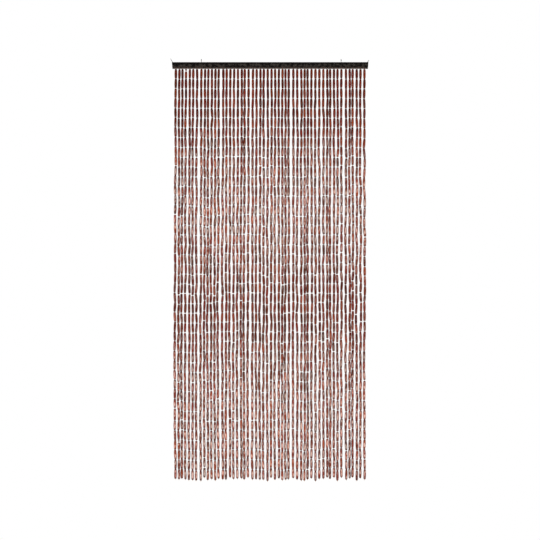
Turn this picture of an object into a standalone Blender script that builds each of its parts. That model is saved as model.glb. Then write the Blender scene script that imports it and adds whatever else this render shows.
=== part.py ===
"""Bead curtain for a doorway, hanging from its black header rail.

Units are metres, +Z is up and the front looks along -Y. The origin is the middle of the rail's flat
back. The 52 strings of wooden beads are plain square strands here, at the beads' mean width, and
their tops are fused into the narrow strip that sits in a groove under the rail.
"""

import math
import random

import bmesh
import bpy
from mathutils import Matrix, Vector

# Header rail: a painted slat, a little shorter along its underside than along its top
RAIL_LENGTH = 0.939
RAIL_HEIGHT = 0.031
RAIL_DEPTH = 0.016
RAIL_END_SLANT = 0.0025
RAIL_FRONT_RADIUS = 0.005
RAIL_FRONT_STEPS = 4
RAIL_EDGE_BEVEL = 0.0008
RAIL_EASED_FROM_DEG = 40
RAIL_TOP = RAIL_HEIGHT / 2
RAIL_UNDERSIDE = -RAIL_HEIGHT / 2

# Groove under the rail, and the strip in it that gathers the strands' tops
CLEARANCE = 0.0003
GROOVE_WIDTH = 0.0042
GROOVE_DEPTH = 0.0045
STRIP_WIDTH = GROOVE_WIDTH - 2 * CLEARANCE
STRIP_OVERHANG = 0.002
STRING_PLANE = -RAIL_DEPTH / 2

# Strands, left to right: they hang in groups with a wide gap between one group and the next
STRAND_GROUPS = (
    # strands, width from the group's first to its last, strand numbers with a narrow gap after them
    (7, 0.1010, (2,)),
    (6, 0.0827, ()),
    (8, 0.1208, (19,)),
    (11, 0.1707, (30,)),
    (14, 0.2300, (36, 42)),
    (6, 0.0885, (48,)),
)
WIDE_GAP = 0.0215
NARROW_GAP = 0.0140
NARROW_AFTER = {number for _, _, narrow_after in STRAND_GROUPS for number in narrow_after}
GAP_UNEVENNESS = 0.0014

# Beads on a strand, which set the strand's length and its widths
BEAD_PITCH = 0.0467
BEADS_PER_STRAND = 42
STRAND_LENGTH = BEADS_PER_STRAND * BEAD_PITCH
LENGTH_UNEVENNESS = 0.009
NECK_LENGTH = 0.0010
BEAD_TOP_DEPTH = 0.0020
SHOULDER = 0.009
BEAD_END_WIDTH = 0.0085
STRAND_WIDTH = 0.0108
BEADS_PER_SECTION = 4

# How the strands hang: each wanders by itself, and those at the left lean out together, which
# fades away across the middle
WANDER = 0.0011
WANDER_TURNS = (0.6, 1.8)
BOW = 0.0045
BOW_TURN = 0.37
BOW_FADE = (20, 35)
DEPTH_SPREAD = 0.0010
NARROW_PAIR_DEPTH = 0.0018
SETTLING_LENGTH = 0.09
HANG_SEED = 56391
STRAND_SEED_STEP = 1000

# Screw eyes on the rail's top, seen almost edge on
EYE_WIRE_RADIUS = 0.0010
EYE_RING_RADIUS = 0.0046
EYE_BEND_RADIUS = 0.0015
EYE_HEIGHT = 0.0095
EYE_SHANK_IN_RAIL = 0.012
EYE_RING_END_DEG = 240
EYE_RING_STEPS = 20
EYE_BEND_STEPS = 4
EYES = (
    # name, place along the rail, turn about its shank in degrees
    ("screw_eye_left", -0.3290, 15),
    ("screw_eye_right", 0.3394, -15),
)

# Short wire pins at the rail's ends, leaning outwards
PIN_RADIUS = 0.0012
PIN_IN_RAIL = 0.009
PINS = (
    # name, side, distance in from the rail's end, lean from upright in degrees, length above the rail
    ("end_pin_left", -1, 0.0030, 29, 0.020),
    ("end_pin_right", 1, 0.0045, 35, 0.013),
)

# Roundness of the wires, and the bores that they stand in
WIRE_ROUNDING_STEPS = 2
BORE_SIDES = 12
BORE_MOUTH = 0.004

# Finishes: colour, roughness, metallic
FINISHES = {
    "black_lacquer": ((0.012, 0.012, 0.011), 0.35, 0.0),
    "varnished_wood": ((0.13, 0.035, 0.022), 0.30, 0.0),
    "galvanised_wire": ((0.42, 0.42, 0.42), 0.35, 1.0),
}


def clear_scene():
    """Removes the objects that the scene starts with."""
    for obj in list(bpy.data.objects):
        bpy.data.objects.remove(obj, do_unlink=True)


def finish_material(name):
    """The named finish, as a Principled BSDF that is made once."""
    if name in bpy.data.materials:
        return bpy.data.materials[name]
    colour, roughness, metallic = FINISHES[name]
    material = bpy.data.materials.new(name)
    material.use_nodes = True
    shader = material.node_tree.nodes["Principled BSDF"]
    shader.inputs["Base Color"].default_value = (*colour, 1.0)
    shader.inputs["Roughness"].default_value = roughness
    shader.inputs["Metallic"].default_value = metallic
    return material


def add_object(name, data, finish=None):
    """An object for this mesh or curve, in the scene and in its finish."""
    obj = bpy.data.objects.new(name, data)
    bpy.context.scene.collection.objects.link(obj)
    if finish:
        data.materials.append(finish_material(finish))
    return obj


def mesh_from(name, bm):
    """The mesh of a finished shape, with its faces turned outwards."""
    bmesh.ops.recalc_face_normals(bm, faces=bm.faces)
    mesh = bpy.data.meshes.new(name)
    bm.to_mesh(mesh)
    bm.free()
    return mesh


def join_rings(bm, left, right):
    """The faces that join the corners of one ring to those of the next."""
    count = len(left)
    return [
        bm.faces.new((left[i], left[(i + 1) % count], right[(i + 1) % count], right[i]))
        for i in range(count)
    ]


def add_cutter(name, bm, target):
    """A hidden shape that a Boolean modifier takes out of the target."""
    cutter = add_object(name, mesh_from(name, bm))
    cutter.hide_render = True
    cutter.display_type = "WIRE"
    cut = target.modifiers.new(name, "BOOLEAN")
    cut.operation = "DIFFERENCE"
    cut.solver = "EXACT"
    cut.object = cutter


def rail_profile():
    """The rail's section as (y, z): square at the back, rounded along both front edges."""
    points = [(0.0, RAIL_UNDERSIDE), (0.0, RAIL_TOP)]
    for side in (1, -1):
        centre_z = side * (RAIL_TOP - RAIL_FRONT_RADIUS)
        for step in range(RAIL_FRONT_STEPS + 1):
            angle = math.radians(90 * step / RAIL_FRONT_STEPS)
            if side < 0:
                angle = math.radians(90) - angle
            y = -RAIL_DEPTH + RAIL_FRONT_RADIUS * (1 - math.sin(angle))
            z = centre_z + side * RAIL_FRONT_RADIUS * math.cos(angle)
            points.append((y, z))
    return points


def make_rail():
    """The header rail: its profile drawn out between two slanted ends, with eased edges."""
    bm = bmesh.new()
    rings = []
    for side in (-1, 1):
        ring = []
        for y, z in rail_profile():
            below_top = (RAIL_TOP - z) / RAIL_HEIGHT
            x = side * (RAIL_LENGTH / 2 - RAIL_END_SLANT * below_top)
            ring.append(bm.verts.new((x, y, z)))
        rings.append(ring)
    left, right = rings
    join_rings(bm, left, right)
    bm.faces.new(left)
    bm.faces.new(right)
    rail = add_object("header_rail", mesh_from("header_rail", bm), "black_lacquer")
    bevel = rail.modifiers.new("eased_edges", "BEVEL")
    bevel.width = RAIL_EDGE_BEVEL
    bevel.segments = 1
    bevel.limit_method = "ANGLE"
    bevel.angle_limit = math.radians(RAIL_EASED_FROM_DEG)
    return rail


def cut_groove(rail, places):
    """Takes the groove for the strands' strip out of the rail's underside."""
    left, right = places[0], places[-1]
    length = right - left + STRIP_WIDTH + 2 * (STRIP_OVERHANG + CLEARANCE)
    bm = bmesh.new()
    place = Matrix.Translation(((left + right) / 2, STRING_PLANE, RAIL_UNDERSIDE))
    size = Matrix.Diagonal((length, GROOVE_WIDTH, 2 * GROOVE_DEPTH, 1))
    bmesh.ops.create_cube(bm, size=1.0, matrix=place @ size)
    add_cutter("groove_cutter", bm, rail)


def cut_bore(rail, name, mouth, direction, depth, radius):
    """Takes a blind bore out of the rail, running down from its mouth against the direction."""
    bm = bmesh.new()
    across_flats = math.cos(math.pi / BORE_SIDES)
    bore_radius = (radius + CLEARANCE) / across_flats
    length = depth + CLEARANCE + BORE_MOUTH
    middle = mouth + direction * (BORE_MOUTH - length / 2)
    turn = Vector((0, 0, 1)).rotation_difference(direction).to_matrix().to_4x4()
    bmesh.ops.create_cone(
        bm,
        cap_ends=True,
        segments=BORE_SIDES,
        radius1=bore_radius,
        radius2=bore_radius,
        depth=length,
        matrix=Matrix.Translation(middle) @ turn,
    )
    add_cutter(name, bm, rail)


def wire(name, points, radius):
    """A round wire along these points, closed at both ends."""
    curve = bpy.data.curves.new(name, "CURVE")
    curve.dimensions = "3D"
    curve.bevel_depth = radius
    curve.bevel_resolution = WIRE_ROUNDING_STEPS
    curve.use_fill_caps = True
    spline = curve.splines.new("POLY")
    spline.points.add(len(points) - 1)
    for spline_point, point in zip(spline.points, points):
        spline_point.co = (*point, 1.0)
    return add_object(name, curve, "galvanised_wire")


def eye_path():
    """A screw eye's wire in its own plane as (across, up), from the shank's tip round its ring.

    The shank runs up to a small bend, which leads into the ring without a kink.
    """
    bend_height = -math.sqrt(EYE_RING_RADIUS**2 + 2 * EYE_RING_RADIUS * EYE_BEND_RADIUS)
    ring_start = math.atan2(bend_height, EYE_BEND_RADIUS)
    points = [(0.0, -EYE_HEIGHT - EYE_SHANK_IN_RAIL), (0.0, -EYE_HEIGHT)]
    bend_sweep = math.pi + ring_start
    for step in range(EYE_BEND_STEPS):
        angle = math.pi - bend_sweep * step / EYE_BEND_STEPS
        across = EYE_BEND_RADIUS * (1 + math.cos(angle))
        points.append((across, bend_height + EYE_BEND_RADIUS * math.sin(angle)))
    ring_end = math.radians(EYE_RING_END_DEG)
    for step in range(EYE_RING_STEPS + 1):
        angle = ring_start + (ring_end - ring_start) * step / EYE_RING_STEPS
        points.append((EYE_RING_RADIUS * math.cos(angle), EYE_RING_RADIUS * math.sin(angle)))
    return points


def make_eyes(rail):
    """The two screw eyes, each with its shank in a bore in the rail's top."""
    for name, place, turn_deg in EYES:
        turn = math.radians(turn_deg)
        eye = wire(name, [(0, across, up) for across, up in eye_path()], EYE_WIRE_RADIUS)
        eye.location = (place, STRING_PLANE, RAIL_TOP + EYE_HEIGHT)
        eye.rotation_euler = (0, 0, turn)
        mouth = Vector((place, STRING_PLANE, RAIL_TOP))
        cut_bore(rail, name + "_bore", mouth, Vector((0, 0, 1)), EYE_SHANK_IN_RAIL, EYE_WIRE_RADIUS)


def make_pins(rail):
    """The two wire pins that lean outwards from the rail's ends, each in its own slanted bore."""
    for name, side, inset, lean_deg, length in PINS:
        lean = math.radians(lean_deg)
        direction = Vector((side * math.sin(lean), 0, math.cos(lean)))
        mouth = Vector((side * (RAIL_LENGTH / 2 - inset), STRING_PLANE, RAIL_TOP))
        wire(name, [mouth - direction * PIN_IN_RAIL, mouth, mouth + direction * length], PIN_RADIUS)
        cut_bore(rail, name + "_bore", mouth, direction, PIN_IN_RAIL, PIN_RADIUS)


def strand_places():
    """The strands' places along the rail, left to right, group by group."""
    uneven = random.Random(HANG_SEED)
    places = []
    group_start = 0.0
    for count, width, narrow_after in STRAND_GROUPS:
        common_gap = (width - NARROW_GAP * len(narrow_after)) / (count - 1 - len(narrow_after))
        first = len(places) + 1
        gaps = [0.0]
        for number in range(first, first + count - 1):
            gap = common_gap + uneven.uniform(-GAP_UNEVENNESS, GAP_UNEVENNESS)
            gaps.append(NARROW_GAP if number in narrow_after else gap)
        stretch = width / sum(gaps)
        place = group_start
        for gap in gaps:
            place += gap * stretch
            places.append(place)
        group_start = place + WIDE_GAP
    middle = (places[0] + places[-1]) / 2
    return [place - middle for place in places]


class Strand:
    """One string of beads as it hangs: its place, its length and the way it wanders."""

    def __init__(self, number, place):
        own = random.Random(HANG_SEED * STRAND_SEED_STEP + number)
        self.place = place
        self.length = STRAND_LENGTH + own.uniform(-LENGTH_UNEVENNESS, LENGTH_UNEVENNESS)
        self.turns = own.uniform(*WANDER_TURNS)
        self.phase = own.uniform(0, 2 * math.pi)
        self.depth = own.uniform(-DEPTH_SPREAD, DEPTH_SPREAD)
        if number in NARROW_AFTER:
            self.depth = -NARROW_PAIR_DEPTH
        elif number - 1 in NARROW_AFTER:
            self.depth = NARROW_PAIR_DEPTH
        fade_start, fade_end = BOW_FADE
        faded = (number - fade_start) / (fade_end - fade_start)
        self.bow = BOW * (1 - min(1.0, max(0.0, faded)))

    def at(self, below):
        """The strand's middle as (x, y, z), this far below the rail."""
        share = below / self.length
        settled = min(1.0, below / SETTLING_LENGTH)
        wander = WANDER * math.sin(2 * math.pi * self.turns * share + self.phase)
        bow = self.bow * math.sin(2 * math.pi * BOW_TURN * share)
        x = self.place + settled * wander - bow
        return Vector((x, STRING_PLANE + settled * self.depth, RAIL_UNDERSIDE - below))

    def sections(self):
        """(distance below the rail, width) of each section, from the neck to the last bead's tip."""
        rows = [
            (NECK_LENGTH, STRIP_WIDTH),
            (BEAD_TOP_DEPTH, BEAD_END_WIDTH),
            (SHOULDER, STRAND_WIDTH),
        ]
        spacing = BEADS_PER_SECTION * BEAD_PITCH
        for count in range(1, BEADS_PER_STRAND // BEADS_PER_SECTION + 1):
            rows.append((count * spacing, STRAND_WIDTH))
        rows.append((self.length - SHOULDER, STRAND_WIDTH))
        rows.append((self.length, BEAD_END_WIDTH))
        return rows


def make_strands(places):
    """All the strands, drawn down one section at a time from the strip that joins their tops."""
    half = STRIP_WIDTH / 2
    top = RAIL_UNDERSIDE + GROOVE_DEPTH - CLEARANCE
    edges = [places[0] - half - STRIP_OVERHANG]
    for place in places:
        edges += [place - half, place + half]
    edges.append(places[-1] + half + STRIP_OVERHANG)
    bm = bmesh.new()
    rings = []
    for x in edges:
        corners = ((-half, RAIL_UNDERSIDE), (half, RAIL_UNDERSIDE), (half, top), (-half, top))
        rings.append([bm.verts.new((x, STRING_PLANE + y, z)) for y, z in corners])
    roots = []
    for index, (left, right) in enumerate(zip(rings, rings[1:])):
        underside = join_rings(bm, left, right)[0]
        if index % 2:
            roots.append(underside)
    bm.faces.new(rings[0])
    bm.faces.new(rings[-1])
    for number, (place, root) in enumerate(zip(places, roots), start=1):
        strand = Strand(number, place)
        for below, width in strand.sections():
            root = draw_down(bm, root, strand.at(below), width)
    return add_object("bead_strands", mesh_from("bead_strands", bm), "varnished_wood")


def draw_down(bm, face, middle, width):
    """Extrudes a strand's end face to its next section, a square of this width about the middle."""
    drawn = bmesh.ops.extrude_discrete_faces(bm, faces=[face])["faces"][0]
    old_middle = drawn.calc_center_median()
    for vert in drawn.verts:
        away = vert.co - old_middle
        vert.co = middle + Vector((
            math.copysign(width / 2, away.x),
            math.copysign(width / 2, away.y),
            0,
        ))
    return drawn


def main():
    """Builds the curtain."""
    clear_scene()
    places = strand_places()
    rail = make_rail()
    cut_groove(rail, places)
    make_eyes(rail)
    make_pins(rail)
    make_strands(places)


if __name__ == "__main__":
    main()
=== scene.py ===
"""Doorway bead curtain: turned wooden beads on cotton strings under a black lacquered rail.

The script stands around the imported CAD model, in metres with +Z up. The curtain's front looks
along -Y, and the origin is the middle of the rail's flat back.
"""

import functools
import logging
import math
import random
from collections.abc import Callable, Mapping, Sequence
from dataclasses import dataclass, field
from enum import Enum
from typing import Any

import bmesh
import bpy
import numpy as np
from bmesh.types import BMesh
from bpy.types import Material, Mesh, Node, NodeSocket, NodeTree, Object
from mathutils import Matrix, Vector


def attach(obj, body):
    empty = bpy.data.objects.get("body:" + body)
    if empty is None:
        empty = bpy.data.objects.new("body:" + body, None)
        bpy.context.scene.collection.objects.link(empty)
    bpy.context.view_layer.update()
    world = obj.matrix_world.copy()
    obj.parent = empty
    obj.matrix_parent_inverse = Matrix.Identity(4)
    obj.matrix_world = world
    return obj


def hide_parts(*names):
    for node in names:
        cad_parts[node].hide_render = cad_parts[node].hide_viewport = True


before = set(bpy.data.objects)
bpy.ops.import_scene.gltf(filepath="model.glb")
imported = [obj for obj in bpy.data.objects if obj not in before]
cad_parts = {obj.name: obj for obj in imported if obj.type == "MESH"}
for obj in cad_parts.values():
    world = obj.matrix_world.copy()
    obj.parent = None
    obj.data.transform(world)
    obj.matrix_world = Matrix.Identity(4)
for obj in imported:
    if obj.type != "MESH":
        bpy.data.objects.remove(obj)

LOG = logging.getLogger("bead_curtain")
MM = 0.001
Colour = tuple[float, float, float, float]
NodeAdder = Callable[..., Node]

# Sizes that the rail, the strings and the wires share, as in the solids
RAIL_LENGTH = 0.939
RAIL_HEIGHT = 0.031
MIDDLE_PLANE = -0.008
CLEARANCE = 0.3 * MM

# Degrees past which an edge stays sharp
PLANED_EDGE = 30
TAPE_EDGE = 40
TURNED_EDGE = 50
TWINE_EDGE = 60

# Each string has two seeds: the solids' own for how it hangs, and one for its beads
STRAND_SEED_STEP = 1000
BEAD_SEED_STEP = 2000

# The eyes' thread, and the bores that the wires stand in
THREAD_HEIGHT = 0.16  # as a share of the wire's radius
BORE_SIDES = 24
BORE_OVERCUT = 4 * MM


class Stain(Enum):
    """Spirit stains of the beads under their varnish, as sRGB hex."""

    OXBLOOD = "6b1a0a"
    CHESTNUT = "79290c"
    WALNUT = "611f0a"
    TEAK = "833210"
    UMBER = "69270c"
    MAHOGANY = "73200d"


STAIN_SHARES = {
    Stain.OXBLOOD: 0.20,
    Stain.CHESTNUT: 0.28,
    Stain.WALNUT: 0.16,
    Stain.TEAK: 0.14,
    Stain.UMBER: 0.08,
    Stain.MAHOGANY: 0.14,
}


class Piece(Enum):
    """Nodes of the CAD model that a piece of this scene stands for."""

    RAIL = "header_rail"
    STRANDS = "bead_strands"
    EYE_LEFT = "screw_eye_left"
    EYE_RIGHT = "screw_eye_right"
    PIN_LEFT = "end_pin_left"
    PIN_RIGHT = "end_pin_right"


def linear(hex_colour: str) -> Colour:
    """Turns an sRGB colour into the linear one that a shader takes.

    Args:
        hex_colour: Six hex digits, such as "7e4724".

    Returns:
        Red, green and blue from 0 to 1, and an alpha of 1.
    """
    channels = []
    for start in (0, 2, 4):
        value = int(hex_colour[start : start + 2], 16) / 255
        channels.append(value / 12.92 if value <= 0.04045 else ((value + 0.055) / 1.055) ** 2.4)
    return (channels[0], channels[1], channels[2], 1.0)


def add_node(tree: NodeTree, kind: str, settings: Mapping[str | int, Any] | None = None) -> Node:
    """Adds a node, sets its sockets and properties, and links its inputs.

    Args:
        tree: The node tree that gets the node.
        kind: The node's Blender type, less the ShaderNode that it begins with.
        settings: Values by input name or number, or by property name. Where the value is another
            node's socket, it is linked to the input.

    Returns:
        The new node.
    """
    made = tree.nodes.new("ShaderNode" + kind)
    for name, value in (settings or {}).items():
        if isinstance(value, NodeSocket):
            tree.links.new(value, made.inputs[name])
        elif isinstance(name, int) or name in made.inputs:
            made.inputs[name].default_value = value
        else:
            setattr(made, name, value)
    return made


def new_material(name: str) -> tuple[Material, NodeAdder]:
    """Makes an empty node material.

    Args:
        name: The finish that it is named for.

    Returns:
        The material, and add_node for its own tree.
    """
    material = bpy.data.materials.new(name)
    material.use_nodes = True
    material.node_tree.nodes.clear()
    return material, functools.partial(add_node, material.node_tree)


def finish_with(
    add: NodeAdder, settings: Mapping[str | int, Any], shader: str = "BsdfPrincipled"
) -> None:
    """Ends a material in one shader.

    Args:
        add: Adds a node to the material.
        settings: The shader's plain values, and the sockets that feed it.
        shader: The shader's kind.
    """
    add("OutputMaterial", {"Surface": add(shader, settings).outputs[0]})


def relief(
    add: NodeAdder,
    pattern: NodeSocket,
    roughness: tuple[float, float],
    strength: float,
    depth: float,
) -> dict[str, NodeSocket]:
    """Lets one pattern vary a finish's shine and give it a fine relief.

    Args:
        add: Adds a node to the material.
        pattern: A value from 0 to 1.
        roughness: The roughness where the pattern is 0 and where it is 1.
        strength: How strongly the relief shows, up to 1.
        depth: Its depth in metres.

    Returns:
        What feeds the shader's roughness and normal.
    """
    shine = add("MapRange", {"Value": pattern, "To Min": roughness[0], "To Max": roughness[1]})
    bump = add("Bump", {"Height": pattern, "Strength": strength, "Distance": depth})
    return {"Roughness": shine.outputs[0], "Normal": bump.outputs[0]}


@dataclass(frozen=True)
class VarnishedBeadWood:
    """Turned birch beads, dipped in spirit stain and varnished.

    The eye gets a deep wood colour that differs from bead to bead, streaks where the grain took
    the stain, ends darkened by end grain round the holes and by painted shade where the beads meet,
    and the soft shine of a varnish that is worn in patches and dull at a bead's ends.
    """

    name: str = "varnished_wood"
    streak_width: float = 3.0 * MM  # real grain is near 0.5 mm, drawn coarser so that it shows
    streak_length: float = 16.0 * MM
    pore_width: float = 0.5 * MM
    pore_length: float = 5.0 * MM
    own_grain: tuple[float, float, float] = (3.1, 1.7, 5.3)  # how far a bead's mark moves its grain
    end_grain_and_shade_tone: float = 0.70  # how dark the end grain and the painted shade at both ends are beside the belly
    rubbed_colour: str = "925238"
    ior: float = 1.5
    roughness: tuple[float, float] = (0.26, 0.46)
    coat_roughness: float = 0.18
    patch_width: float = 9.0 * MM
    patch_length: float = 20.0 * MM
    least_gloss: float = 0.08
    end_gloss: float = 0.15

    def material(self) -> Material:
        """Builds the varnished wood.

        Returns:
            The beads' material, which reads each bead's stain from its mesh.
        """
        material, add = new_material(self.name)
        place = add("TexCoord").outputs["Object"]
        stain = add("Attribute", {"attribute_name": "stain"}).outputs["Vector"]
        mark = add("Attribute", {"attribute_name": "bead_mark"}).outputs["Fac"]
        end = add("Attribute", {"attribute_name": "end_share"}).outputs["Fac"]
        apart = add(
            "VectorMath", {"operation": "MULTIPLY_ADD", 0: mark, 1: self.own_grain, 2: place}
        ).outputs[0]
        streaks = self._grain(add, apart, self.streak_width, self.streak_length)
        pores = self._grain(add, apart, self.pore_width, self.pore_length)
        patches = self._grain(add, apart, self.patch_width, self.patch_length, 1.0)
        tone = add(
            "MapRange",
            {"Value": streaks, "From Min": 0.3, "From Max": 0.7, "To Min": 0.45, "To Max": 1.18},
        ).outputs[0]
        streaked = add("VectorMath", {"operation": "SCALE", 0: stain, "Scale": tone}).outputs[0]
        rubbed_share = add(
            "MapRange", {"Value": streaks, "From Min": 0.56, "From Max": 0.80, "To Max": 0.22}
        ).outputs[0]
        rubbed = add(
            "Mix",
            {"data_type": "RGBA", 0: rubbed_share, 6: streaked, 7: linear(self.rubbed_colour)},
        ).outputs[2]
        # Darkens each bead towards both ends: end grain round the holes, and painted shade where
        # the beads meet.
        end_grain_and_shade_tone = add(
            "MapRange", {"Value": end, "From Min": 0.35, "To Min": 1.0, "To Max": self.end_grain_and_shade_tone}
        ).outputs[0]
        colour = add("VectorMath", {"operation": "SCALE", 0: rubbed, "Scale": end_grain_and_shade_tone}).outputs[0]
        belly = {"From Min": 0.45, "From Max": 0.90, "To Min": 1.0, "To Max": self.end_gloss}
        most_gloss = add("MapRange", {"Value": end, **belly}).outputs[0]
        worn = {"From Min": 0.44, "From Max": 0.61, "To Min": self.least_gloss}
        varnish = add("MapRange", {"Value": patches, **worn, "To Max": most_gloss}).outputs[0]
        finish_with(
            add,
            {
                "Base Color": colour,
                "IOR": self.ior,
                "Specular IOR Level": varnish,
                "Coat Weight": varnish,
                "Coat Roughness": self.coat_roughness,
                "Coat IOR": self.ior,
                **relief(add, pores, self.roughness, strength=0.25, depth=0.15 * MM),
            },
        )
        return material

    def _grain(
        self, add: NodeAdder, place: NodeSocket, width: float, length: float, detail: float = 3.0
    ) -> NodeSocket:
        """Draws grain that runs down the beads.

        Args:
            add: Adds a node to the material.
            place: Coordinates in metres.
            width: Width of a grain line in metres.
            length: Length of a grain line in metres.
            detail: How finely the lines break up.

        Returns:
            A value from 0 to 1.
        """
        scale = (1 / width, 1 / width, 1 / length)
        stretched = add("VectorMath", {"operation": "MULTIPLY", 0: place, 1: scale}).outputs[0]
        return add(
            "TexNoise", {"Vector": stretched, "Scale": 1.0, "Detail": detail, "Roughness": 0.55}
        ).outputs["Fac"]


@dataclass(frozen=True)
class BlackLacquer:
    """Black brushed lacquer on a planed wooden slat.

    The eye gets a near-black face, clouded below its dark top edge by dust mixed with painted sheen
    for the light that the flat face mirrors. A low shine follows the brush along the rail, and the
    wood shows brown where the lower edge is rubbed.
    """

    name: str = "black_lacquer"
    colour: str = "090808"
    dust_and_sheen_colour: str = "3a352e"
    dust_and_sheen_heights: tuple[float, float] = (8.5 * MM, 5.0 * MM)  # where it begins and is full
    dust_and_sheen_shares: tuple[float, float] = (0.1, 0.8)
    dust_and_sheen_edge: tuple[float, float] = (0.45, 0.58)  # of the clouds that it lies in
    rubbed_colour: str = "240e0a"
    rubbed_heights: tuple[float, float] = (-3.0 * MM, -10.0 * MM)
    rubbed_shares: tuple[float, float] = (0.0, 0.9)
    rubbed_edge: tuple[float, float] = (0.35, 0.60)
    brush_width: float = 1.5 * MM
    brush_length: float = 90.0 * MM
    cloud_size: float = 14.0 * MM
    ior: float = 1.5
    roughness: tuple[float, float] = (0.26, 0.54)

    def material(self) -> Material:
        """Builds the lacquer.

        Returns:
            The rail's material.
        """
        material, add = new_material(self.name)
        place = add("TexCoord").outputs["Object"]
        scale = (1 / self.brush_length, 1 / self.brush_width, 1 / self.brush_width)
        brushed = add("VectorMath", {"operation": "MULTIPLY", 0: place, 1: scale}).outputs[0]
        strokes = add("TexNoise", {"Vector": brushed, "Scale": 1.0, "Detail": 2.0}).outputs["Fac"]
        clouds = add(
            "TexNoise",
            {"Vector": place, "Scale": 1 / self.cloud_size, "Detail": 3.0, "Roughness": 0.6},
        ).outputs["Fac"]
        height = add("SeparateXYZ", {0: place}).outputs["Z"]
        colour: Colour | NodeSocket = linear(self.colour)
        # The first tint is dust together with painted sheen, lighter below the top edge; the second
        # is the rubbed lower edge.
        for tint, heights, shares, edge in (
            (self.dust_and_sheen_colour, self.dust_and_sheen_heights, self.dust_and_sheen_shares, self.dust_and_sheen_edge),
            (self.rubbed_colour, self.rubbed_heights, self.rubbed_shares, self.rubbed_edge),
        ):
            by_height = dict(zip(("From Min", "From Max", "To Min", "To Max"), heights + shares))
            most = add("MapRange", {"Value": height, **by_height}).outputs[0]
            share = add(
                "MapRange",
                {"Value": clouds, "From Min": edge[0], "From Max": edge[1], "To Max": most},
            ).outputs[0]
            colour = add(
                "Mix", {"data_type": "RGBA", 0: share, 6: colour, 7: linear(tint)}
            ).outputs[2]
        finish_with(
            add,
            {
                "Base Color": colour,
                "IOR": self.ior,
                **relief(add, strokes, self.roughness, strength=0.35, depth=0.12 * MM),
            },
        )
        return material


@dataclass(frozen=True)
class GalvanisedWire:
    """Drawn steel wire with a dipped zinc coat.

    The eye gets a mid-grey metal with a dull shine, clouded by the zinc's spangle and by the
    bloom of oxide that hides the metal in patches. The pins take the same zinc in darker greys.
    """

    name: str = "galvanised_wire"
    light_zinc: str = "a9abaa"
    dark_zinc: str = "6e7070"
    spangle_size: float = 2.5 * MM
    roughness: tuple[float, float] = (0.28, 0.53)

    def material(self) -> Material:
        """Builds the zinc coat.

        Returns:
            The wire's material.
        """
        material, add = new_material(self.name)
        place = add("TexCoord").outputs["Object"]
        scale = 1 / self.spangle_size
        spangle = add("TexVoronoi", {"Vector": place, "Scale": scale}).outputs["Color"]
        clouds = add("TexNoise", {"Vector": place, "Scale": scale, "Detail": 4.0}).outputs["Fac"]
        shade = add(
            "Mix", {"data_type": "RGBA", "blend_type": "OVERLAY", 0: 0.5, 6: clouds, 7: spangle}
        ).outputs[2]
        greys = {6: linear(self.dark_zinc), 7: linear(self.light_zinc)}
        bare = add(
            "MapRange",
            {"Value": clouds, "From Min": 0.35, "From Max": 0.65, "To Min": 0.35, "To Max": 0.95},
        ).outputs[0]
        finish_with(
            add,
            {
                "Base Color": add("Mix", {"data_type": "RGBA", 0: shade, **greys}).outputs[2],
                "Metallic": bare,
                **relief(add, clouds, self.roughness, strength=0.2, depth=0.05 * MM),
            },
        )
        return material


@dataclass(frozen=True)
class CottonTwine:
    """Twisted unbleached cotton, dull and slightly fluffy.

    The eye gets a warm cream with painted shade in the furrows between the turns of the twist.
    """

    name: str = "cotton_twine"
    yarn_colour: str = "ead2b8"
    furrow_shade_colour: str = "b98d6b"
    turn_length: float = 1.6 * MM
    bands_a_unit: float = 3.5  # that the wave texture draws at a scale of 1
    ior: float = 1.5
    roughness: float = 0.9

    def material(self) -> Material:
        """Builds the twine.

        Returns:
            The strings' material.
        """
        material, add = new_material(self.name)
        turns = add(
            "TexWave",
            {
                "wave_type": "BANDS",
                "bands_direction": "DIAGONAL",
                "Vector": add("TexCoord").outputs["Object"],
                "Scale": 1 / self.turn_length / self.bands_a_unit,
                "Distortion": 1.2,
                "Detail": 2.0,
            },
        ).outputs["Fac"]
        # The furrows between the turns get painted shade.
        yarns = {6: linear(self.furrow_shade_colour), 7: linear(self.yarn_colour)}
        bump = add("Bump", {"Height": turns, "Strength": 0.6, "Distance": 0.2 * MM}).outputs[0]
        finish_with(
            add,
            {
                "Base Color": add("Mix", {"data_type": "RGBA", 0: turns, **yarns}).outputs[2],
                "IOR": self.ior,
                "Roughness": self.roughness,
                "Sheen Weight": 0.15,
                "Normal": bump,
            },
        )
        return material


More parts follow.
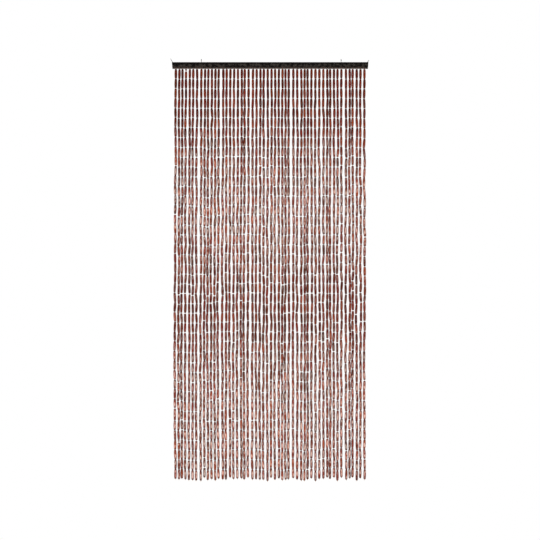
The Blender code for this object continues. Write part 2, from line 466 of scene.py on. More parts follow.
@dataclass
class RingMesh:
    """Rings of points joined into one mesh, with named numbers on its points."""

    points: list[np.ndarray] = field(default_factory=list)
    faces: list[tuple[int, ...]] = field(default_factory=list)
    values: dict[str, list[np.ndarray]] = field(default_factory=dict)
    count: int = 0

    def add(
        self,
        rings: np.ndarray,
        looped: bool,
        values: Mapping[str, np.ndarray] | None = None,
    ) -> None:
        """Joins each ring to the next with four-sided faces.

        Args:
            rings: Points by ring and side, as (rings, sides, 3).
            looped: Whether the last ring joins the first, as round a bored bead. Otherwise the
                two end rings are capped.
            values: Numbers for each point, as (rings, sides) or (rings, sides, 3).
        """
        ring_count, sides = rings.shape[:2]
        index = np.arange(ring_count * sides).reshape(ring_count, sides) + self.count
        above = index if looped else index[:-1]
        below = np.roll(index, -1, axis=0) if looped else index[1:]
        quads = np.stack(
            (above, below, np.roll(below, -1, axis=1), np.roll(above, -1, axis=1)), axis=-1
        )
        self.faces += [tuple(quad) for quad in quads.reshape(-1, 4).tolist()]
        if not looped:
            self.faces.append(tuple(index[0].tolist()))
            self.faces.append(tuple(index[-1][::-1].tolist()))
        self.points.append(rings.reshape(-1, 3))
        for name, numbers in (values or {}).items():
            flat = numbers.reshape(ring_count * sides, -1)
            self.values.setdefault(name, []).append(flat)
        self.count += ring_count * sides

    def make(self, name: str, material: Material, sharp_degrees: float) -> Object:
        """Makes the object.

        Args:
            name: The piece's name.
            material: Its finish.
            sharp_degrees: Edges that turn by more than this stay sharp.

        Returns:
            The object, linked into the scene.
        """
        mesh = bpy.data.meshes.new(name)
        mesh.from_pydata(np.concatenate(self.points).tolist(), [], self.faces)
        for value_name, parts in self.values.items():
            numbers = np.concatenate(parts).astype(np.float32)
            single = numbers.shape[1] == 1
            kind = "FLOAT" if single else "FLOAT_VECTOR"
            layer = mesh.attributes.new(value_name, kind, "POINT")
            layer.data.foreach_set("value" if single else "vector", numbers.ravel())
        mesh.validate()
        return add_piece(name, mesh, material, sharp_degrees)


def add_piece(name: str, mesh: Mesh, material: Material, sharp_degrees: float) -> Object:
    """Puts a mesh into the scene in its finish.

    Args:
        name: The piece's name.
        mesh: Its mesh, in the model's frame.
        material: Its finish.
        sharp_degrees: Edges that turn by more than this stay sharp.

    Returns:
        The object.
    """
    mesh.shade_smooth()
    mesh.set_sharp_from_angle(angle=math.radians(sharp_degrees))
    mesh.materials.clear()
    mesh.materials.append(material)
    piece = bpy.data.objects.new(name, mesh)
    bpy.context.scene.collection.objects.link(piece)
    return piece


def seat(piece: Object, replaced: Piece | None = None) -> None:
    """Makes a piece ride with the curtain, and hides the CAD node that it stands for.

    Args:
        piece: The piece.
        replaced: The CAD node that it stands for.
    """
    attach(piece, "root")
    if replaced:
        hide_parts(replaced.value)
    LOG.info("%s: %d faces", piece.name, len(piece.data.polygons))


def ring_angles(sides: int) -> np.ndarray:
    """Angles of a ring's points, in radians."""
    return np.arange(sides) * 2 * math.pi / sides


def tube_rings(
    path: Sequence[Vector],
    radii: Sequence[float],
    sides: int,
    ridge: Sequence[float | None] | None = None,
) -> np.ndarray:
    """Sweeps a ring along a path without twisting it.

    Args:
        path: The middle of each ring.
        radii: The radius of each ring.
        sides: Points on a ring.
        ridge: For each ring, the turn in radians at which its points stand proud, for a thread,
            or None where there is no thread.

    Returns:
        Points as (rings, sides, 3).
    """
    angles = ring_angles(sides)
    across = None
    rings = []
    for number, (middle, radius) in enumerate(zip(path, radii)):
        ahead = path[min(number + 1, len(path) - 1)] - path[max(number - 1, 0)]
        ahead.normalize()
        if across is None:
            across = ahead.orthogonal()
        across = (across - ahead * across.dot(ahead)).normalized()
        beside = ahead.cross(across)
        swell = np.full(sides, radius)
        if ridge is not None and ridge[number] is not None:
            swell *= 1 + THREAD_HEIGHT * np.cos(angles - ridge[number])
        rings.append(
            np.array(middle)
            + np.outer(swell * np.cos(angles), np.array(across))
            + np.outer(swell * np.sin(angles), np.array(beside))
        )
    return np.array(rings)


@dataclass(frozen=True)
class HangingRules:
    """Where the strings hang along the rail and how each one wanders.

    They are the solids' own rules, so every string lies where its solid strand lies.
    """

    groups: tuple[tuple[int, float, tuple[int, ...]], ...] = (
        # strings, width from the group's first to its last, numbers with a narrow gap after them
        (7, 0.1010, (2,)),
        (6, 0.0827, ()),
        (8, 0.1208, (19,)),
        (11, 0.1707, (30,)),
        (14, 0.2300, (36, 42)),
        (6, 0.0885, (48,)),
    )
    wide_gap: float = 0.0215
    narrow_gap: float = 0.0140
    unevenness: float = 0.0014
    bead_pitch: float = 0.0467
    rows: int = 42
    length_unevenness: float = 0.009
    wander: float = 0.0011
    wander_turns: tuple[float, float] = (0.6, 1.8)
    bow: float = 0.0045
    bow_turn: float = 0.37
    bow_fade: tuple[int, int] = (20, 35)
    depth_spread: float = 0.0010
    narrow_pair_depth: float = 0.0018
    settling_length: float = 0.09
    plane: float = MIDDLE_PLANE
    rail_underside: float = -RAIL_HEIGHT / 2
    seed: int = 56391

    @property
    def narrow_after(self) -> set[int]:
        """Numbers of the strings with a narrow gap after them."""
        return {number for _, _, numbers in self.groups for number in numbers}

    def places(self) -> list[float]:
        """Spaces the strings group by group.

        Returns:
            Their places along the rail, from left to right.
        """
        uneven = random.Random(self.seed)
        places: list[float] = []
        group_start = 0.0
        for count, width, narrow_after in self.groups:
            narrow = len(narrow_after)
            common_gap = (width - self.narrow_gap * narrow) / (count - 1 - narrow)
            first = len(places) + 1
            gaps = [0.0]
            for number in range(first, first + count - 1):
                gap = common_gap + uneven.uniform(-self.unevenness, self.unevenness)
                gaps.append(self.narrow_gap if number in narrow_after else gap)
            stretch = width / sum(gaps)
            place = group_start
            for gap in gaps:
                place += gap * stretch
                places.append(place)
            group_start = place + self.wide_gap
        middle = (places[0] + places[-1]) / 2
        return [place - middle for place in places]


@dataclass(frozen=True)
class BeadTurning:
    """A turned bead's sizes and outline: a long oval with small flat ends and a bore."""

    belly_radius: float = 6.35 * MM
    belly_spread: float = 0.4 * MM
    end_radius: float = 4.5 * MM
    end_spread: float = 0.2 * MM
    bore_radius: float = 1.1 * MM
    countersink: float = 0.9 * MM
    rim_width: float = 1.3 * MM
    fullness: float = 0.6
    sides: int = 12
    stations: tuple[float, ...] = (0.06, 0.16, 0.32, 0.5, 0.68, 0.84, 0.94)
    corner: float = 0.5 * MM
    corner_drop: float = 0.25  # as a share of the corner
    corner_share: float = 0.97  # of the way to the end, so that it takes the end grain's tone

    def outline(self, length: float, belly: float, end: float) -> np.ndarray:
        """Draws the outline from the bore's top over the belly to the bore's bottom.

        Args:
            length: The bead's length.
            belly: Its radius at the middle.
            end: Its radius at both ends.

        Returns:
            (distance down, radius, share of the way to an end) of each ring.
        """
        top = [
            (self.countersink, self.bore_radius, 1.0),
            (0.0, end - self.rim_width, 1.0),
            (self.corner, end - self.corner_drop * self.corner, self.corner_share),
        ]
        body = [
            (
                share * length,
                end + (belly - end) * math.sin(math.pi * share) ** self.fullness,
                abs(2 * share - 1),
            )
            for share in self.stations
        ]
        bottom = [(length - down, radius, share) for down, radius, share in reversed(top)]
        return np.array(top + body + bottom)


@dataclass
class Bead:
    """One bead as it hangs: its two ends on the string, its radii and its stain."""

    top: Vector
    bottom: Vector
    belly: float
    end: float
    stain: Stain
    depth_of_stain: float
    mark: float
    roll: float


# String and row of the places where a short bead sits above a cut-down one
SPACER_BEADS = {(4, 1), (2, 39)}


@dataclass
class BeadedString:
    """One string of the curtain with its beads, from the rail down to its end knot."""

    number: int
    place: float
    rules: HangingRules
    turning: BeadTurning
    pitch_spread: float = 0.020
    short_row: int = 24
    short_share: float = 0.30
    shortened: tuple[float, float] = (0.6, 0.85)
    long_row: int = 36
    long_share: float = 0.30
    lengthened: tuple[float, float] = (1.15, 1.35)
    top_gap: float = 0.0020
    even_rows: int = 8
    even_gap: tuple[float, float] = (0.7, 1.7)
    gap_kinds: tuple[tuple[float, float, float], ...] = (
        # share of the gaps up to this kind, and its shortest and longest in millimetres
        (0.34, 0.3, 0.6),
        (0.84, 0.7, 1.8),
        (1.00, 2.2, 4.5),
    )
    kink: float = 1.2 * MM
    most_kink: float = 2.4 * MM
    kink_ahead: float = 0.8  # beside the kink to the side
    taut_rows: int = 3  # over which the kinks grow to their full size
    end_slack: float = 0.6
    middle_slack: float = 0.7  # on top of the slack at the ends
    string_tone: tuple[float, float] = (0.92, 1.08)
    bead_tone: tuple[float, float] = (0.62, 1.28)
    spacer_length: float = 7.5 * MM
    spacer_gap: float = 3.5 * MM
    spacer_size: float = 0.78

    def __post_init__(self) -> None:
        """Draws how the string hangs, in the solids' order, and then its joints and gaps."""
        rules = self.rules
        own = random.Random(rules.seed * STRAND_SEED_STEP + self.number)
        whole = rules.rows * rules.bead_pitch
        self.length = whole + own.uniform(-rules.length_unevenness, rules.length_unevenness)
        self.turns = own.uniform(*rules.wander_turns)
        self.phase = own.uniform(0, 2 * math.pi)
        self.depth = own.uniform(-rules.depth_spread, rules.depth_spread)
        if self.number in rules.narrow_after:
            self.depth = -rules.narrow_pair_depth
        elif self.number - 1 in rules.narrow_after:
            self.depth = rules.narrow_pair_depth
        fade_start, fade_end = rules.bow_fade
        faded = (self.number - fade_start) / (fade_end - fade_start)
        self.bow = rules.bow * (1 - min(1.0, max(0.0, faded)))
        self.own = random.Random(rules.seed * BEAD_SEED_STEP + self.number)
        self.strand_tone = self.own.uniform(*self.string_tone)
        self.joints = self._joints()
        self.gaps = [0.0] + [self._gap(row) for row in range(1, rules.rows)] + [0.0]

    def at(self, below: float) -> Vector:
        """Finds the string's middle this far below the rail, before any kink.

        Args:
            below: Distance in metres.

        Returns:
            The place.
        """
        share = below / self.length
        settled = min(1.0, below / self.rules.settling_length)
        wander = self.rules.wander * math.sin(2 * math.pi * self.turns * share + self.phase)
        bow = self.bow * math.sin(2 * math.pi * self.rules.bow_turn * share)
        x = self.place + settled * wander - bow
        y = self.rules.plane + settled * self.depth
        return Vector((x, y, self.rules.rail_underside - below))

    def _joints(self) -> list[Vector]:
        """Places the points where one bead meets the next.

        Returns:
            A point above each bead and one under the last.
        """
        own = self.own
        pitches = [1 + own.gauss(0, self.pitch_spread) for _ in range(self.rules.rows)]
        if own.random() < self.short_share:
            pitches[self.short_row - 1] *= own.uniform(*self.shortened)
        if own.random() < self.long_share:
            pitches[self.long_row - 1] *= own.uniform(*self.lengthened)
        scale = (self.length - self.top_gap) / sum(pitches)
        below = self.top_gap
        joints = [self.at(below)]
        for row, pitch in enumerate(pitches, start=1):
            below += pitch * scale
            middle = math.sin(math.pi * row / self.rules.rows)
            slack = min(1.0, row / self.taut_rows) * (self.end_slack + self.middle_slack * middle)
            aside, ahead = (
                max(-self.most_kink, min(self.most_kink, slack * own.gauss(0, self.kink)))
                for _ in range(2)
            )
            joints.append(self.at(below) + Vector((aside, self.kink_ahead * ahead, 0)))
        return joints

    def _gap(self, row: int) -> float:
        """Draws the length of bare string under a bead: mostly short, now and then wide.

        Args:
            row: The bead's row, from 1 at the top. The gaps of the top rows are more even.

        Returns:
            The length in metres.
        """
        if row <= self.even_rows:
            return self.own.uniform(*self.even_gap) * MM
        drawn = self.own.random()
        lengths = next(lengths for share, *lengths in self.gap_kinds if drawn < share)
        return self.own.uniform(*lengths) * MM

    def radius_at(self, heights: np.ndarray) -> np.ndarray:
        """Finds half the string's width at these heights, bead or bare string.

        Args:
            heights: Heights in metres, from top to bottom.

        Returns:
            A radius for each, a little over the bead's own.
        """
        tops = np.array([joint.z for joint in self.joints])
        row = np.clip(np.searchsorted(-tops, -heights) - 1, 0, len(tops) - 2)
        share = np.clip((tops[row] - heights) / (tops[row] - tops[row + 1]), 0, 1)
        swell = np.sin(np.pi * share) ** self.turning.fullness
        most = self.turning.belly_radius + self.turning.belly_spread
        return self.turning.end_radius + (most - self.turning.end_radius) * swell

    def beads(self) -> list[Bead]:
        """Threads the beads between the joints.

        Returns:
            The string's beads, from top to bottom.
        """
        made = []
        for row, (above, under) in enumerate(zip(self.joints, self.joints[1:]), start=1):
            along = (under - above).normalized()
            start = above + along * self.gaps[row - 1] / 2
            finish = under - along * self.gaps[row] / 2
            if (self.number, row) in SPACER_BEADS:
                spacer_end = start + along * self.spacer_length
                made.append(self._bead(start, spacer_end, self.spacer_size))
                start = spacer_end + along * self.spacer_gap
            made.append(self._bead(start, finish, 1.0))
        return made

    def _bead(self, top: Vector, bottom: Vector, size: float) -> Bead:
        """Makes one bead between two points, in a size, stain and turn drawn for it.

        Args:
            top: Its upper end on the string.
            bottom: Its lower end.
            size: Its thickness beside a full bead's.

        Returns:
            The bead.
        """
        own, turning = self.own, self.turning
        stain = own.choices(list(STAIN_SHARES), list(STAIN_SHARES.values()))[0]
        return Bead(
            top,
            bottom,
            size * (turning.belly_radius + own.uniform(-1, 1) * turning.belly_spread),
            turning.end_radius + own.uniform(-1, 1) * turning.end_spread,
            stain,
            self.strand_tone * own.uniform(*self.bead_tone),
            own.random(),
            own.uniform(0, 2 * math.pi),
        )


@dataclass
class BeadField:
    """All the beaded strings, the tape that holds them in the rail's groove, and their knots."""

    rules: HangingRules = field(default_factory=HangingRules)
    turning: BeadTurning = field(default_factory=BeadTurning)
    clearance: float = CLEARANCE
    easing_step: float = 3.0 * MM
    easing_rounds: int = 12
    string_radius: float = 0.75 * MM
    string_sides: int = 8
    in_tape: float = 1.5 * MM
    tape_width: float = 3.6 * MM
    tape_height: float = 4.2 * MM
    tape_overhang: float = 2.0 * MM
    tape_easing: float = 0.5 * MM
    knot: tuple[tuple[float, float], ...] = (
        # distance under the last bead and radius, in millimetres
        (0.2, 0.75),
        (0.7, 1.45),
        (1.5, 1.85),
        (2.3, 1.75),
        (3.0, 1.2),
        (3.4, 0.75),
        (5.6, 0.85),
    )

    def __post_init__(self) -> None:
        """Hangs the strings and eases neighbours apart."""
        self.strings = [
            BeadedString(number, place, self.rules, self.turning)
            for number, place in enumerate(self.rules.places(), start=1)
        ]
        for _ in range(self.easing_rounds):
            for left, right in zip(self.strings, self.strings[1:]):
                self._ease(left, right)

    @property
    def span(self) -> tuple[float, float]:
        """Places of the first and the last string along the rail."""
        return self.strings[0].place, self.strings[-1].place

    def _ease(self, left: BeadedString, right: BeadedString) -> None:
        """Pushes the joints of two neighbours apart where their beads would touch.

        Args:
            left: The left string.
            right: The right string.
        """
        lowest = max(left.joints[-1].z, right.joints[-1].z)
        heights = np.arange(left.joints[0].z, lowest, -self.easing_step)
        lines = [self._line(string, heights) for string in (left, right)]
        apart = lines[1] - lines[0]
        distance = np.hypot(apart[:, 0], apart[:, 1])
        reach = left.radius_at(heights) + right.radius_at(heights) + self.clearance
        short = reach - distance
        if short.max() <= 0:
            return
        for string, side in ((left, -1), (right, 1)):
            tops = np.array([joint.z for joint in string.joints])
            row = np.clip(np.searchsorted(-tops, -heights) - 1, 0, len(tops) - 2)
            push = np.zeros(len(tops))
            np.maximum.at(push, row, short)
            np.maximum.at(push, row + 1, short)
            for index in np.flatnonzero(push > 0):
                sample = int(np.abs(heights - tops[index]).argmin())
                way = apart[sample] / distance[sample]
                move = side * push[index] / 2
                string.joints[index] += Vector((way[0] * move, way[1] * move, 0))

    def _line(self, string: BeadedString, heights: np.ndarray) -> np.ndarray:
        """Follows a string's joints.

        Args:
            string: The string.
            heights: Heights in metres, from top to bottom.

        Returns:
            The string's middle as (x, y) at each height.
        """
        joints = np.array(string.joints)
        return np.stack(
            [np.interp(-heights, -joints[:, 2], joints[:, axis]) for axis in (0, 1)], axis=1
        )

    def build(self, wood: Material, cotton: Material) -> None:
        """Builds every string's beads, and the strings and tape.

        Args:
            wood: The beads' finish.
            cotton: The strings' finish.
        """
        for string in self.strings:
            beads = RingMesh()
            for bead in string.beads():
                self._add_bead(beads, bead)
            piece = beads.make(f"bead_strand_{string.number:02d}", wood, TURNED_EDGE)
            seat(piece, Piece.STRANDS)
        twine = RingMesh()
        for string in self.strings:
            self._add_string(twine, string)
        seat(twine.make("bead_strings", cotton, TWINE_EDGE), Piece.STRANDS)
        seat(self._tape(cotton), Piece.STRANDS)

    def _add_bead(self, mesh: RingMesh, bead: Bead) -> None:
        """Adds one bead to its string's mesh.

        Args:
            mesh: The string's beads so far.
            bead: The bead.
        """
        along = bead.bottom - bead.top
        length = along.length
        along.normalize()
        across = along.cross(Vector((0, 1, 0))).normalized()
        beside = along.cross(across)
        outline = self.turning.outline(length, bead.belly, bead.end)
        angles = ring_angles(self.turning.sides) + bead.roll
        spoke = np.outer(np.cos(angles), np.array(across))
        spoke += np.outer(np.sin(angles), np.array(beside))
        middles = np.array(bead.top) + np.outer(outline[:, 0], np.array(along))
        rings = middles[:, None, :] + outline[:, 1, None, None] * spoke[None, :, :]
        shape = rings.shape[:2]
        stain = bead.depth_of_stain * np.array(linear(bead.stain.value)[:3])
        mesh.add(
            rings,
            True,
            {
                "stain": np.broadcast_to(stain, (*shape, 3)),
                "bead_mark": np.full(shape, bead.mark),
                "end_share": np.broadcast_to(outline[:, 2, None], shape),
            },
        )

    def _add_string(self, mesh: RingMesh, string: BeadedString) -> None:
        """Adds one string, from the tape through its beads to its knot.

        Args:
            mesh: The strings so far.
            string: The string.
        """
        root = string.at(0) + Vector((0, 0, self.in_tape))
        end = string.joints[-1]
        path = [root, string.at(0), *string.joints[:-1]]
        radii = [self.string_radius] * len(path)
        for below, radius in self.knot:
            path.append(end + Vector((0, 0, -below * MM)))
            radii.append(radius * MM)
        mesh.add(tube_rings(path, radii, self.string_sides)[:, ::-1], False)

    def _tape(self, cotton: Material) -> Object:
        """Makes the tape that the strings hang from, in the rail's groove.

        Args:
            cotton: Its finish.

        Returns:
            The tape.
        """
        first, last = self.span
        reach = self.tape_width / 2 + self.tape_overhang
        bm = box_shape(
            (
                (first + last) / 2,
                self.rules.plane,
                self.rules.rail_underside + self.tape_height / 2,
            ),
            (last - first + 2 * reach, self.tape_width, self.tape_height),
        )
        bmesh.ops.bevel(
            bm,
            geom=bm.edges[:],
            offset=self.tape_easing,
            segments=2,
            profile=0.5,
            affect="EDGES",
        )
        return add_piece("string_tape", mesh_from("string_tape", bm), cotton, TAPE_EDGE)


@dataclass
class HeaderRail:
    """The lacquered slat, with its rounded front, its groove and the bores for the wires."""

    length: float = RAIL_LENGTH
    height: float = RAIL_HEIGHT
    depth: float = 0.016
    end_slant: float = 0.0025
    front_radius: float = 0.005
    front_steps: int = 12
    edge_bevel: float = 0.0008
    bevel_steps: int = 3
    bevel_from_degrees: float = 40
    groove_width: float = 0.0042
    groove_depth: float = 0.0045
    groove_length_past_tape: float = CLEARANCE

    def _profile(self) -> list[tuple[float, float]]:
        """Draws the rail's section.

        Returns:
            (y, z) points: square at the back, rounded along both front edges.
        """
        top = self.height / 2
        points = [(0.0, -top), (0.0, top)]
        for side in (1, -1):
            for step in range(self.front_steps + 1):
                angle = math.pi / 2 * step / self.front_steps
                if side < 0:
                    angle = math.pi / 2 - angle
                points.append((
                    -self.depth + self.front_radius * (1 - math.sin(angle)),
                    side * (top - self.front_radius * (1 - math.cos(angle))),
                ))
        return points

    def build(self, lacquer: Material, wires: Sequence["RailWire"], beads: BeadField) -> None:
        """Builds the rail and takes the groove and the wires' bores out of it.

        Args:
            lacquer: The rail's finish.
            wires: The eyes and pins that stand in it.
            beads: The strings, whose tape lies in the groove.
        """
        rail = self._slat(lacquer)
        cutters = [self._groove(beads)] + [wire.bore() for wire in wires]
        for cutter in cutters:
            cut = rail.modifiers.new(cutter.name, "BOOLEAN")
            cut.operation = "DIFFERENCE"
            cut.solver = "EXACT"
            cut.object = cutter
        graph = bpy.context.evaluated_depsgraph_get()
        mesh = bpy.data.meshes.new_from_object(rail.evaluated_get(graph))
        for used in (rail, *cutters):
            bpy.data.objects.remove(used, do_unlink=True)
        mesh.name = "lacquered_rail"
        rail = add_piece("lacquered_rail", mesh, lacquer, PLANED_EDGE)
        seat(rail, Piece.RAIL)

    def _slat(self, lacquer: Material) -> Object:
        """Makes the rail without its groove and bores, with eased edges.

        Args:
            lacquer: Its finish.

        Returns:
            The slat.
        """
        bm = bmesh.new()
        rings = []
        for side in (-1, 1):
            ring = []
            for y, z in self._profile():
                below_top = (self.height / 2 - z) / self.height
                x = side * (self.length / 2 - self.end_slant * below_top)
                ring.append(bm.verts.new((x, y, z)))
            rings.append(ring)
        left, right = rings
        for i in range(len(left)):
            j = (i + 1) % len(left)
            bm.faces.new((left[i], left[j], right[j], right[i]))
        bm.faces.new(left)
        bm.faces.new(right)
        bmesh.ops.recalc_face_normals(bm, faces=bm.faces)
        slat = add_piece("slat", mesh_from("slat", bm), lacquer, PLANED_EDGE)
        bevel = slat.modifiers.new("eased_edges", "BEVEL")
        bevel.width = self.edge_bevel
        bevel.segments = self.bevel_steps
        bevel.limit_method = "ANGLE"
        bevel.angle_limit = math.radians(self.bevel_from_degrees)
        return slat

    def _groove(self, beads: BeadField) -> Object:
        """Makes the shape of the groove under the rail.

        Args:
            beads: The strings, whose tape lies in the groove.

        Returns:
            The cutter.
        """
        first, last = beads.span
        past = beads.tape_width / 2 + beads.tape_overhang + self.groove_length_past_tape
        bm = box_shape(
            ((first + last) / 2, beads.rules.plane, -self.height / 2),
            (last - first + 2 * past, self.groove_width, 2 * self.groove_depth),
        )
        return cutter_from("groove_cutter", bm)


def box_shape(middle: Sequence[float], size: Sequence[float]) -> BMesh:
    """Makes a closed box.

    Args:
        middle: The middle of the box.
        size: Its width, depth and height.

    Returns:
        The box, for mesh_from to free.
    """
    bm = bmesh.new()
    matrix = Matrix.Translation(middle) @ Matrix.Diagonal((*size, 1))
    bmesh.ops.create_cube(bm, size=1.0, matrix=matrix)
    return bm


def mesh_from(name: str, bm: BMesh) -> Mesh:
    """Turns a shape into a mesh.

    Args:
        name: The mesh's name.
        bm: The shape, which is freed.

    Returns:
        The mesh.
    """
    mesh = bpy.data.meshes.new(name)
    bm.to_mesh(mesh)
    bm.free()
    return mesh


def cutter_from(name: str, bm: BMesh) -> Object:
    """Turns a closed shape into a hidden object that cuts another.

    Args:
        name: The cutter's name.
        bm: The shape, which is freed.

    Returns:
        The cutter.
    """
    bmesh.ops.recalc_face_normals(bm, faces=bm.faces)
    cutter = bpy.data.objects.new(name, mesh_from(name, bm))
    bpy.context.scene.collection.objects.link(cutter)
    cutter.hide_render = True
    return cutter


@dataclass(kw_only=True)
class RailWire:
    """A round wire that stands in a bore in the rail's top."""

    node: Piece
    name: str
    radius: float
    in_rail: float
    sides: int = 14

    @property
    def mouth(self) -> Vector:
        """Where the wire leaves the rail."""
        raise NotImplementedError

    @property
    def direction(self) -> Vector:
        """The way that the wire leaves the rail."""
        return Vector((0, 0, 1))

    def bore(self) -> Object:
        """Makes the shape of the wire's bore, from over its mouth to its blind end.

        Returns:
            The cutter.
        """
        length = self.in_rail + BORE_OVERCUT
        turn = Vector((0, 0, 1)).rotation_difference(self.direction).to_matrix().to_4x4()
        middle = self.mouth + self.direction * (BORE_OVERCUT - length / 2)
        bm = bmesh.new()
        bmesh.ops.create_cone(
            bm,
            cap_ends=True,
            segments=BORE_SIDES,
            radius1=self.radius + CLEARANCE,
            radius2=self.radius + CLEARANCE,
            depth=length,
            matrix=Matrix.Translation(middle) @ turn,
        )
        return cutter_from(self.name + "_bore", bm)

    def _add(
        self,
        path: Sequence[Vector],
        radii: Sequence[float],
        zinc: Material,
        thread: Sequence[float | None] | None = None,
    ) -> None:
        """Sweeps the wire and seats it.

        Args:
            path: Its middle.
            radii: Its radius at each point of the path.
            zinc: Its finish.
            thread: The thread's turn at each point, as tube_rings takes it.
        """
        wire = RingMesh()
        wire.add(tube_rings(path, radii, self.sides, thread)[:, ::-1], False)
        seat(wire.make(self.name, zinc, TURNED_EDGE), self.node)


@dataclass(kw_only=True)
class ScrewEye(RailWire):
    """A wire screw eye on the rail's top, turned almost edge on to the front."""

    place: float
    turn_degrees: float
    radius: float = 0.0010
    in_rail: float = 0.012
    ring_radius: float = 0.0046
    bend_radius: float = 0.0015
    height: float = 0.0095
    ring_end_degrees: float = 240
    ring_steps: int = 56
    bend_steps: int = 8
    thread_pitch: float = 1.3 * MM
    thread_top: float = 2.4 * MM
    rings_a_turn: int = 8

    @property
    def mouth(self) -> Vector:
        """Where the shank leaves the rail."""
        return Vector((self.place, MIDDLE_PLANE, RAIL_HEIGHT / 2))

    def _path(self) -> tuple[list[tuple[float, float]], list[float | None]]:
        """Draws the wire in its own plane, from the shank's tip round its ring.

        Returns:
            The wire's middle as (across, up), and the thread's turn at each point.
        """
        rise = -math.sqrt(self.ring_radius**2 + 2 * self.ring_radius * self.bend_radius)
        ring_start = math.atan2(rise, self.bend_radius)
        shank_end = -self.height - self.in_rail
        thread_end = -self.height + self.thread_top
        rings = int((thread_end - shank_end) / self.thread_pitch * self.rings_a_turn)
        points: list[tuple[float, float]] = []
        thread: list[float | None] = []
        for ring in range(rings + 1):
            points.append((0.0, shank_end + (thread_end - shank_end) * ring / rings))
            thread.append(2 * math.pi * ring / self.rings_a_turn)
        sweep = math.pi + ring_start
        for step in range(self.bend_steps):
            angle = math.pi - sweep * step / self.bend_steps
            points.append((
                self.bend_radius * (1 + math.cos(angle)),
                rise + self.bend_radius * math.sin(angle),
            ))
        ring_end = math.radians(self.ring_end_degrees)
        for step in range(self.ring_steps + 1):
            angle = ring_start + (ring_end - ring_start) * step / self.ring_steps
            points.append((
                self.ring_radius * math.cos(angle),
                self.ring_radius * math.sin(angle),
            ))
        thread += [None] * (len(points) - len(thread))
        return points, thread

    def build(self, zinc: Material) -> None:
        """Builds the eye in its bore.

        Args:
            zinc: The wire's finish.
        """
        points, thread = self._path()
        turn = Matrix.Rotation(math.radians(self.turn_degrees), 3, "Z")
        foot = Vector((self.place, MIDDLE_PLANE, RAIL_HEIGHT / 2 + self.height))
        path = [foot + turn @ Vector((0, across, up)) for across, up in points]
        cut_down = self.radius / (1 + THREAD_HEIGHT)
        radii = [self.radius if ridge is None else cut_down for ridge in thread]
        self._add(path, radii, zinc, thread)


@dataclass(kw_only=True)
class EndPin(RailWire):
    """A short wire pin that leans outwards from the rail's end."""

    side: int
    inset: float
    lean_degrees: float
    length: float
    radius: float = 0.0012
    in_rail: float = 0.009
    tip_radius: float = 0.0008
    straight_share: float = 0.6  # of the length, before it is drawn down to the tip
    dome_steps: int = 5
    tip_flat: float = 0.6  # steps that are left out at the top of the dome

    @property
    def direction(self) -> Vector:
        """The way that the pin points."""
        lean = math.radians(self.lean_degrees)
        return Vector((self.side * math.sin(lean), 0, math.cos(lean)))

    @property
    def mouth(self) -> Vector:
        """Where the pin leaves the rail."""
        x = self.side * (RAIL_LENGTH / 2 - self.inset)
        return Vector((x, MIDDLE_PLANE, RAIL_HEIGHT / 2))

    def build(self, zinc: Material) -> None:
        """Builds the pin with its drawn-down, domed tip.

        Args:
            zinc: The wire's finish.
        """
        out = self.direction
        path = [
            self.mouth - out * self.in_rail,
            self.mouth,
            self.mouth + out * self.length * self.straight_share,
        ]
        radii = [self.radius] * len(path)
        tip_start = self.length - self.tip_radius
        for step in range(self.dome_steps + 1):
            angle = math.pi / 2 * step / (self.dome_steps + self.tip_flat)
            path.append(self.mouth + out * (tip_start + self.tip_radius * math.sin(angle)))
            radii.append(self.tip_radius * math.cos(angle))
        self._add(path, radii, zinc)


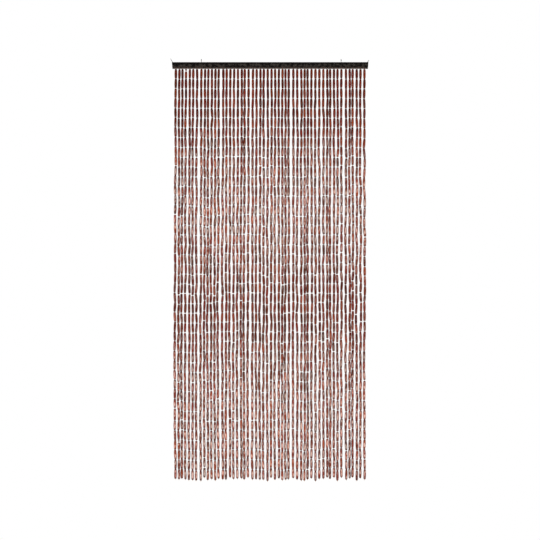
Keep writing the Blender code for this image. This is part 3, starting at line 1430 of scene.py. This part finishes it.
@dataclass
class Studio:
    """Pale floor, soft light all round the front, and the camera."""

    camera_distance: float = 7.0
    camera_x: float = -0.0008
    camera_z: float = -0.9778
    lens: float = 97.5
    sensor_width: float = 36.0
    floor_z: float = -2.45
    floor_radius: float = 0.9
    floor_sides: int = 96
    floor_colour: str = "e8e6e2"
    floor_roughness: float = 0.9
    fill_radius: float = 1.6
    fill_top: float = 1.0
    fill_light: float = 1.42
    fill_sweep_degrees: float = 180.0
    tent_radius: float = 1.25
    tent_depth: float = 0.40
    tent_colour: str = "fff2e2"
    tent_sweep_degrees: float = 110.0
    screen_columns: int = 32
    screen_rows: int = 24
    tent_light: tuple[tuple[float, float], ...] = (
        # height and brightness
        (0.25, 0.0),
        (-0.04, 0.0),
        (-0.12, 0.1),
        (-0.26, 0.2),
        (-0.45, 2.5),
        (-0.65, 5.0),
        (-0.80, 3.9),
        (-0.95, 1.8),
        (-1.10, 0.1),
        (-1.25, 0.2),
        (-1.42, 2.8),
        (-1.60, 4.5),
        (-2.30, 4.6),
    )

    def build(self) -> None:
        """Sets up the floor, the light and the camera."""
        self._camera()
        self._world()
        self._floor()
        self._tent()
        self._fill()
        bpy.context.scene.view_settings.view_transform = "Standard"

    def _camera(self) -> None:
        """Puts the camera level in front of the curtain."""
        data = bpy.data.cameras.new("camera")
        data.sensor_width = self.sensor_width
        data.lens = self.lens
        data.clip_end = 100.0
        camera = bpy.data.objects.new("camera", data)
        camera.location = (self.camera_x, -self.camera_distance, self.camera_z)
        camera.rotation_euler = (math.radians(90), 0, 0)
        bpy.context.scene.collection.objects.link(camera)
        bpy.context.scene.camera = camera

    def _world(self) -> None:
        """Makes a surround that the camera sees white and that lights nothing."""
        world = bpy.data.worlds.new("surround")
        bpy.context.scene.world = world
        world.use_nodes = True
        tree = world.node_tree
        tree.nodes.clear()
        seen = add_node(tree, "LightPath").outputs["Is Camera Ray"]
        light = add_node(tree, "Background", {"Color": (1.0, 1.0, 1.0, 1.0), "Strength": seen})
        add_node(tree, "OutputWorld", {"Surface": light.outputs[0]})

    def _floor(self) -> Object:
        """Makes a round pale floor under the curtain.

        Returns:
            The floor.
        """
        bm = bmesh.new()
        bmesh.ops.create_circle(
            bm,
            cap_ends=True,
            radius=self.floor_radius,
            segments=self.floor_sides,
            matrix=Matrix.Translation((0, 0, self.floor_z)),
        )
        material, add = new_material("pale_floor")
        finish_with(
            add, {"Base Color": linear(self.floor_colour), "Roughness": self.floor_roughness}
        )
        return add_piece("floor", mesh_from("floor", bm), material, PLANED_EDGE)

    def _tent(self) -> Object:
        """Makes the bright and dark bands that the varnish mirrors, near the front.

        Returns:
            The tent, which lights nothing but what mirrors it.
        """
        top, bottom = self.tent_light[0][0], self.tent_light[-1][0]
        size = (self.tent_radius, self.tent_depth, top, bottom)
        tent = self._screen("light_tent", size, self.tent_sweep_degrees, self._bands(top, bottom))
        tent.visible_diffuse = False
        return tent

    def _fill(self) -> Object:
        """Makes the soft, even light that brings out the stain, farther out than the tent.

        Returns:
            The fill light, which the varnish doesn't mirror.
        """
        material, add = new_material("fill_glow")
        finish_with(add, {"Strength": self.fill_light}, "Emission")
        size = (self.fill_radius, self.fill_radius, self.fill_top, self.floor_z)
        fill = self._screen("fill_light", size, self.fill_sweep_degrees, material)
        fill.visible_glossy = False
        return fill

    def _screen(
        self,
        name: str,
        size: tuple[float, float, float, float],
        sweep_degrees: float,
        material: Material,
    ) -> Object:
        """Makes a curved screen of light round the curtain, which the camera looks through.

        Args:
            name: The screen's name.
            size: Its half width, its depth in front, its top and its bottom.
            sweep_degrees: How far it goes round to each side of the front.
            material: Its light.

        Returns:
            The screen.
        """
        radius, depth, top, bottom = size
        sweep = math.radians(sweep_degrees)
        bm = bmesh.new()
        rows = []
        for row in range(self.screen_rows + 1):
            z = top + (bottom - top) * row / self.screen_rows
            rows.append([])
            for column in range(self.screen_columns + 1):
                angle = sweep * (2 * column / self.screen_columns - 1)
                place = (radius * math.sin(angle), -depth * math.cos(angle), z)
                rows[-1].append(bm.verts.new(place))
        for above, below in zip(rows, rows[1:]):
            for i in range(self.screen_columns):
                bm.faces.new((above[i], above[i + 1], below[i + 1], below[i]))
        screen = add_piece(name, mesh_from(name, bm), material, PLANED_EDGE)
        screen.visible_camera = False
        screen.visible_shadow = False
        return screen

    def _bands(self, top: float, bottom: float) -> Material:
        """Makes the tent's light, brighter and dimmer by height.

        Args:
            top: Height of the tent's upper edge.
            bottom: Height of its lower edge.

        Returns:
            The tent's material.
        """
        material, add = new_material("tent_glow")
        place = add("TexCoord").outputs["Object"]
        height = add("SeparateXYZ", {0: place}).outputs["Z"]
        up = add("MapRange", {"Value": height, "From Min": bottom, "From Max": top}).outputs[0]
        ramp = add("ValToRGB", {"Fac": up})
        ramp.color_ramp.interpolation = "LINEAR"
        most = max(light for _, light in self.tent_light)
        stops = sorted(
            ((z - bottom) / (top - bottom), light / most) for z, light in self.tent_light
        )
        elements = ramp.color_ramp.elements
        while len(elements) < len(stops):
            elements.new(0.5)
        for element, (position, _) in zip(elements, stops):
            element.position = position
        red, green, blue, _ = linear(self.tent_colour)
        for element, (_, share) in zip(elements, stops):
            element.color = (red * share, green * share, blue * share, 1.0)
        finish_with(add, {"Color": ramp.outputs["Color"], "Strength": most}, "Emission")
        return material


def main() -> None:
    """Builds the curtain piece by piece, then the studio round it."""
    logging.basicConfig(level=logging.INFO, format="%(name)s: %(message)s")
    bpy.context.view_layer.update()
    beads = BeadField()
    zinc = GalvanisedWire().material()
    # The pins get the same zinc in darker greys.
    darker_pin_zinc = GalvanisedWire("darker_pin_wire", light_zinc="3e3f3e", dark_zinc="1f2020").material()
    wires: list[RailWire] = [
        ScrewEye(node=Piece.EYE_LEFT, name="wire_eye_left", place=-0.3290, turn_degrees=15),
        ScrewEye(node=Piece.EYE_RIGHT, name="wire_eye_right", place=0.3394, turn_degrees=-15),
    ]
    for node, name, side, inset, lean, length in (
        (Piece.PIN_LEFT, "wire_pin_left", -1, 0.0030, 29, 0.020),
        (Piece.PIN_RIGHT, "wire_pin_right", 1, 0.0045, 35, 0.013),
    ):
        wires.append(
            EndPin(node=node, name=name, side=side, inset=inset, lean_degrees=lean, length=length)
        )
    HeaderRail().build(BlackLacquer().material(), wires, beads)
    for wire in wires:
        wire.build(darker_pin_zinc if isinstance(wire, EndPin) else zinc)
    beads.build(VarnishedBeadWood().material(), CottonTwine().material())
    Studio().build()


if __name__ == "__main__":
    main()
